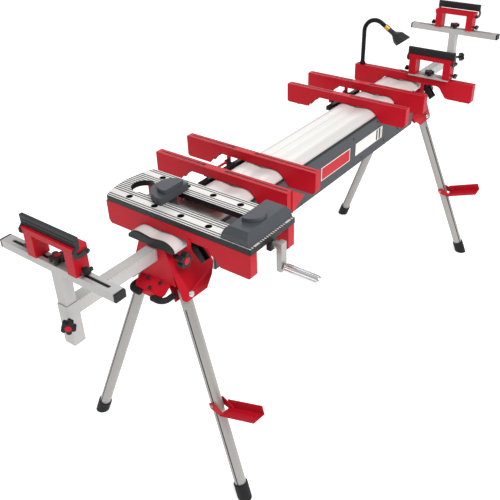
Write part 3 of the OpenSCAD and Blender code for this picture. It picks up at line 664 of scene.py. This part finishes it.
NECK_Y = 169.5
NECK_FOOT = 798.3
NECK_TURN = 928.0
BEND_R = 47.0
SWEEP = math.radians(121)
BEND_END = NECK_TURN - NECK_FOOT + BEND_R * SWEEP
# lengths of the straight tip, the brass ring and the head
NECK_TIP, COLLAR_LONG, HEAD_LONG = 22, 18, 48
RIB_PITCH = 4.6
RIB_LOW, RIB_HIGH = 7.6, 8.6
NECK_END_R = 8.4
NECK_SIDES = 22
FOOT_RING = [(0, 12), (6.5, 12), (8.6, 10.5), (8.8, 8)]
LENS_TURN = [(0, 21.5), (1.5, 21.5), (3.5, 12), (4.2, 4)]


def neck_point(d):
    """A point and direction on the gooseneck's middle line, d mm up from the bar."""
    straight = NECK_TURN - NECK_FOOT
    if d <= straight:
        return Vector((SINGLE_X, NECK_Y, NECK_FOOT + d)), Vector((0, 0, 1))
    a = min((d - straight) / BEND_R, SWEEP)
    way = Vector((0, -math.sin(a), math.cos(a)))
    bend = Vector((SINGLE_X, NECK_Y - BEND_R + BEND_R * math.cos(a),
                   NECK_TURN + BEND_R * math.sin(a)))
    return bend + way * max(0, d - BEND_END), way


def ribbed_neck():
    """The gooseneck with its ribs, and its foot on the bar."""
    total = BEND_END + NECK_TIP
    rows = []
    d = 0.2
    while d < total - 0.5:
        for part, r in ((0.0, RIB_LOW), (0.25, RIB_HIGH), (0.6, RIB_HIGH), (0.85, RIB_LOW)):
            if d + part * RIB_PITCH < total:
                rows.append((d + part * RIB_PITCH, r))
        d += RIB_PITCH
    rows.append((total, NECK_END_R))
    verts = []
    for d, r in rows:
        at, way = neck_point(d)
        u = Vector((1, 0, 0))
        v = way.cross(u)
        for i in range(NECK_SIDES):
            a = 2 * math.pi * i / NECK_SIDES
            verts.append(at + (u * math.cos(a) + v * math.sin(a)) * r)
    shape = Shape()
    shape.add(verts, ring_faces(len(rows), NECK_SIDES))
    shape.lathe((SINGLE_X, NECK_Y, NECK_FOOT), (0, 0, 1), FOOT_RING, 28)
    obj = grow("ribbed_neck", shape.verts, shape.faces, MAT["neck_black"], "lamp",
               smooth=True)
    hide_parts("lamp_neck")


def lamp_lens():
    """The pale lens in the lamp's mouth."""
    at, way = neck_point(BEND_END + NECK_TIP + COLLAR_LONG + HEAD_LONG)
    shape = Shape()
    shape.lathe(at, way, LENS_TURN, 32)
    grow("lamp_lens", shape.verts, shape.faces, LENS, "lamp", smooth=True)


beam_crown()
crown_caps()
panel_details()
knob_caps()
tube_scale()
bar_slot_shade()
tee_slot_shade()
rubber_feet()
fasteners()
leg_groove_shade()
fluted_grip()
ribbed_neck()
lamp_lens()


# ---- Stage, light and camera -----------------------------------------------------

FLOOR_SIZE, FLOOR_DROP = 200, 0.0005
FLOOR_GLOW = 0.5
WORLD_GLOW = 0.46
# as name, place, aim, size in metres and power in watts
LIGHTS = (("key", (-1.2, -2.4, 4.4), (0, 0, 0.6), 2.6, 195),
          ("fill", (-3.2, 1.8, 2.4), (0, 0, 0.6), 2.6, 6),
          ("back", (2.6, 2.4, 3.0), (0, 0, 0.7), 2.6, 40))
# the camera that matches the photo: its place, its turns and its focal length in pixels
CAM_AT = (-1771.6, -1118.7, 1691.7)
YAW, PITCH, ROLL = math.radians(38), math.radians(33.2), math.radians(2)
FOCAL_PX, PICTURE_PX = 685, 500
SENSOR_MM = 36


def floor():
    """A plain pale floor, half a millimetre under the feet."""
    bpy.ops.mesh.primitive_plane_add(size=FLOOR_SIZE, location=(0, 0, -FLOOR_DROP))
    plane = bpy.context.object
    plane.name = "floor"
    m = material("floor_pale", (0.94, 0.94, 0.94), 0.7, vary=0.01, bump=0, shine=0.1)
    bsdf = m.node_tree.nodes["Principled BSDF"]
    bsdf.inputs["Emission Color"].default_value = (1, 1, 1, 1)
    bsdf.inputs["Emission Strength"].default_value = FLOOR_GLOW
    plane.data.materials.append(m)


def light(name, at, aim, size, power):
    """A square area light, turned towards aim."""
    data = bpy.data.lights.new(name, "AREA")
    data.shape = "SQUARE"
    data.size = size
    data.energy = power
    lamp = bpy.data.objects.new(name, data)
    lamp.location = at
    lamp.rotation_euler = (Vector(aim) - Vector(at)).to_track_quat("-Z", "Y").to_euler()
    bpy.context.scene.collection.objects.link(lamp)


floor()
for row in LIGHTS:
    light(*row)
world = bpy.data.worlds.new("studio")
world.use_nodes = True
world.node_tree.nodes["Background"].inputs["Color"].default_value = (1, 1, 1, 1)
world.node_tree.nodes["Background"].inputs["Strength"].default_value = WORLD_GLOW
bpy.context.scene.world = world
bpy.context.scene.view_settings.view_transform = "Standard"

# the picture's axes: forward, then right and down, turned by the roll
fwd = Vector((math.cos(YAW) * math.cos(PITCH), math.sin(YAW) * math.cos(PITCH), -math.sin(PITCH)))
right = Vector((math.sin(YAW), -math.cos(YAW), 0))
down = fwd.cross(right)
img_x = math.cos(ROLL) * right + math.sin(ROLL) * down
img_y = -math.sin(ROLL) * right + math.cos(ROLL) * down
turned = Matrix((img_x, -img_y, -fwd)).transposed().to_4x4()
cam_data = bpy.data.cameras.new("camera")
cam_data.sensor_width = SENSOR_MM
cam_data.lens = FOCAL_PX / PICTURE_PX * SENSOR_MM
cam_data.clip_start = 0.05
cam = bpy.data.objects.new("camera", cam_data)
cam.matrix_world = Matrix.Translation(P(*CAM_AT)) @ turned
bpy.context.scene.collection.objects.link(cam)
bpy.context.scene.camera = cam
